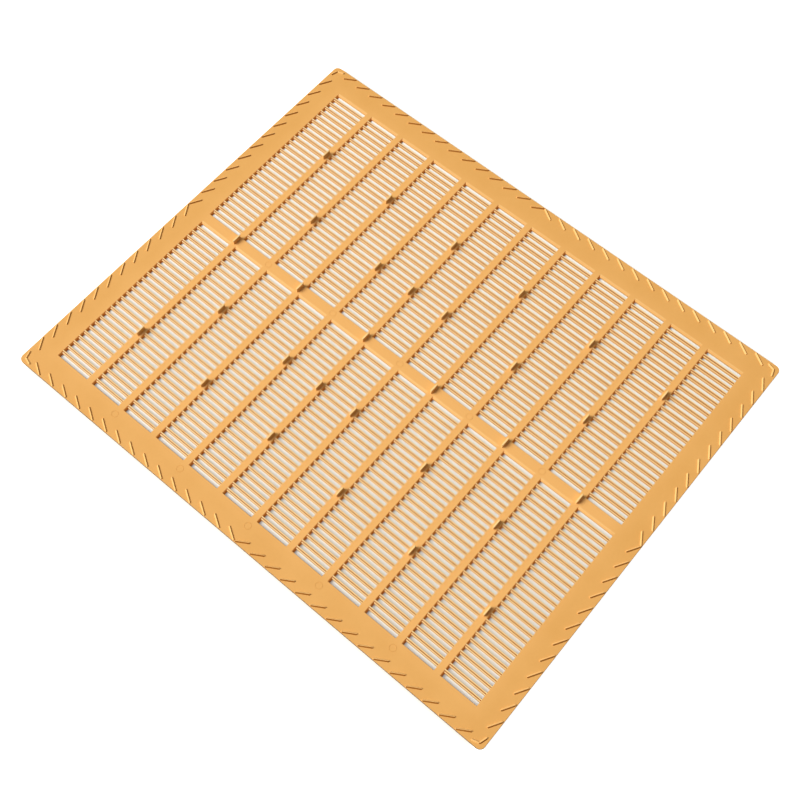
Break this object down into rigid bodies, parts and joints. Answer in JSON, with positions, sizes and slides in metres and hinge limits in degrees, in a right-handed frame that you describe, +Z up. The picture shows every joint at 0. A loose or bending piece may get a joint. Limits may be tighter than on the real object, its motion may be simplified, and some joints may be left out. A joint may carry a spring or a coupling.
{
  "type": "queen excluder",
  "caption": "Flat moulded plastic grid that lies between two hive boxes: its slots pass worker bees but not the queen, with spacer pegs on its ribs and grip ridges round its border",
  "frame": {"origin": "centre of the sheet on its underside, where it lies on the rim of the lower hive box", "axes": "X along the long side of the hive, Y along the short side towards the rear rail, Z up through the pegs"},
  "size_m": [0.505, 0.413, 0.0075],
  "materials": {
    "moulded_polypropylene": "satin injection-moulded polypropylene, light orange"
  },
  "bodies": {
    "root": {"front_rail": "moulded_polypropylene", "rear_rail": "moulded_polypropylene", "left_rail": "moulded_polypropylene", "right_rail": "moulded_polypropylene", "centre_crossbar": "moulded_polypropylene", "rib_01": "moulded_polypropylene", "rib_02": "moulded_polypropylene", "rib_03": "moulded_polypropylene", "rib_04": "moulded_polypropylene", "rib_05": "moulded_polypropylene", "rib_06": "moulded_polypropylene", "rib_07": "moulded_polypropylene", "rib_08": "moulded_polypropylene", "rib_09": "moulded_polypropylene", "rib_10": "moulded_polypropylene", "rib_11": "moulded_polypropylene", "slot_bars_front_01": "moulded_polypropylene", "slot_bars_front_02": "moulded_polypropylene", "slot_bars_front_03": "moulded_polypropylene", "slot_bars_front_04": "moulded_polypropylene", "slot_bars_front_05": "moulded_polypropylene", "slot_bars_front_06": "moulded_polypropylene", "slot_bars_front_07": "moulded_polypropylene", "slot_bars_front_08": "moulded_polypropylene", "slot_bars_front_09": "moulded_polypropylene", "slot_bars_front_10": "moulded_polypropylene", "slot_bars_front_11": "moulded_polypropylene", "slot_bars_front_12": "moulded_polypropylene", "slot_bars_rear_01": "moulded_polypropylene", "slot_bars_rear_02": "moulded_polypropylene", "slot_bars_rear_03": "moulded_polypropylene", "slot_bars_rear_04": "moulded_polypropylene", "slot_bars_rear_05": "moulded_polypropylene", "slot_bars_rear_06": "moulded_polypropylene", "slot_bars_rear_07": "moulded_polypropylene", "slot_bars_rear_08": "moulded_polypropylene", "slot_bars_rear_09": "moulded_polypropylene", "slot_bars_rear_10": "moulded_polypropylene", "slot_bars_rear_11": "moulded_polypropylene", "slot_bars_rear_12": "moulded_polypropylene", "spacer_pegs_row_1": "moulded_polypropylene", "spacer_pegs_row_2": "moulded_polypropylene", "spacer_pegs_row_3": "moulded_polypropylene", "spacer_pegs_row_4": "moulded_polypropylene", "spacer_pegs_row_5": "moulded_polypropylene", "grip_ridges_front": "moulded_polypropylene", "grip_ridges_rear": "moulded_polypropylene", "grip_ridges_left": "moulded_polypropylene", "grip_ridges_right": "moulded_polypropylene", "grip_ridges_corners": "moulded_polypropylene"}
  },
  "joints": []
}
